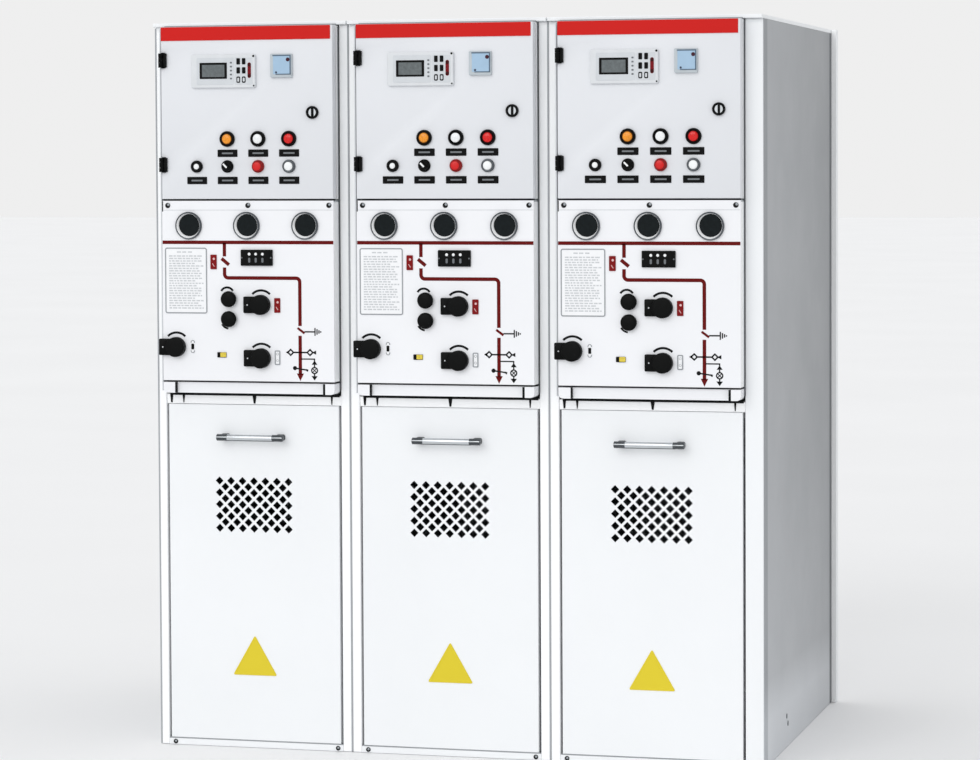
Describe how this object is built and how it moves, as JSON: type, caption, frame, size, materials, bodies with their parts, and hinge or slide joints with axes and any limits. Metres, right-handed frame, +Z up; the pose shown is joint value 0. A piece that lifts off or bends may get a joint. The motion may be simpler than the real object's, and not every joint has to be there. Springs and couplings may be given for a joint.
{
  "type": "solid-insulated ring main unit",
  "caption": "Free-standing medium-voltage ring main unit: white metal-clad switchgear bank with hinged instrument doors, mimic panels with viewing windows and vented cable covers.",
  "frame": {"origin": "middle of the overall box on the floor", "axes": "+X to the right seen from the front, -Y to the front, +Z up"},
  "size_m": [1.2876, 0.918, 1.5],
  "materials": {
    "white_paint": "satin powder coat",
    "panel_paint": "satin powder coat",
    "grey_skin": "satin grey coat",
    "galvanised": "zinc-coated sheet",
    "ring_chrome": "polished",
    "dark_glass": "dark glazing",
    "black_metal": "black coat",
    "black_plastic": "moulded",
    "indicator_red": "printed window",
    "header_red": "plain coloured strip",
    "relay_plastic": "moulded",
    "meter_face": "tinted face",
    "grip_metal": "satin"
  },
  "bodies": {
    "cabinet": {"base_rails": "white_paint", "floor_plates": "galvanised", "corner_posts": "white_paint", "end_frames": "white_paint", "end_skins": "grey_skin", "partition_walls": "galvanised", "rear_covers": "panel_paint", "roof_plates": "white_paint", "lv_cheeks": "panel_paint", "lv_backs": "galvanised", "shelves": "galvanised", "hood_cheeks": "white_paint", "mimic_panels": "panel_paint", "window_rings": "ring_chrome", "window_glasses": "dark_glass", "ledge_rails": "white_paint", "transoms": "panel_paint", "hinge_brackets": "black_metal", "shaft_handles": "black_plastic", "push_knobs": "black_plastic", "live_displays": "black_plastic", "indicator_flags": "indicator_red"},
    "door_1": {"door_panel_1": "panel_paint", "header_strip_1": "header_red", "door_hinges_1": "black_metal", "relay_1": "relay_plastic", "meter_1": "meter_face", "pilot_lamps_1": "black_plastic", "door_lock_1": "black_plastic"},
    "cover_1": {"cable_cover_1": "white_paint", "cover_handle_1": "grip_metal"},
    "door_2": {"door_panel_2": "panel_paint", "header_strip_2": "header_red", "door_hinges_2": "black_metal", "relay_2": "relay_plastic", "meter_2": "meter_face", "pilot_lamps_2": "black_plastic", "door_lock_2": "black_plastic"},
    "cover_2": {"cable_cover_2": "white_paint", "cover_handle_2": "grip_metal"},
    "door_3": {"door_panel_3": "panel_paint", "header_strip_3": "header_red", "door_hinges_3": "black_metal", "relay_3": "relay_plastic", "meter_3": "meter_face", "pilot_lamps_3": "black_plastic", "door_lock_3": "black_plastic"},
    "cover_3": {"cable_cover_3": "white_paint", "cover_handle_3": "grip_metal"}
  },
  "joints": [
    {"name": "door_1_hinge", "type": "hinge", "parent": "cabinet", "child": "door_1", "pos_m": [-0.61525, -0.45, 1.315], "axis": [0, 0, -1], "range_deg": [0, 110]},
    {"name": "cover_1_pull", "type": "slide", "parent": "cabinet", "child": "cover_1", "axis": [0, -1, 0], "range_m": [0, 0.3]},
    {"name": "door_2_hinge", "type": "hinge", "parent": "cabinet", "child": "door_2", "pos_m": [-0.19525, -0.45, 1.315], "axis": [0, 0, -1], "range_deg": [0, 110]},
    {"name": "cover_2_pull", "type": "slide", "parent": "cabinet", "child": "cover_2", "axis": [0, -1, 0], "range_m": [0, 0.3]},
    {"name": "door_3_hinge", "type": "hinge", "parent": "cabinet", "child": "door_3", "pos_m": [0.22475, -0.45, 1.315], "axis": [0, 0, -1], "range_deg": [0, 110]},
    {"name": "cover_3_pull", "type": "slide", "parent": "cabinet", "child": "cover_3", "axis": [0, -1, 0], "range_m": [0, 0.3]}
  ]
}
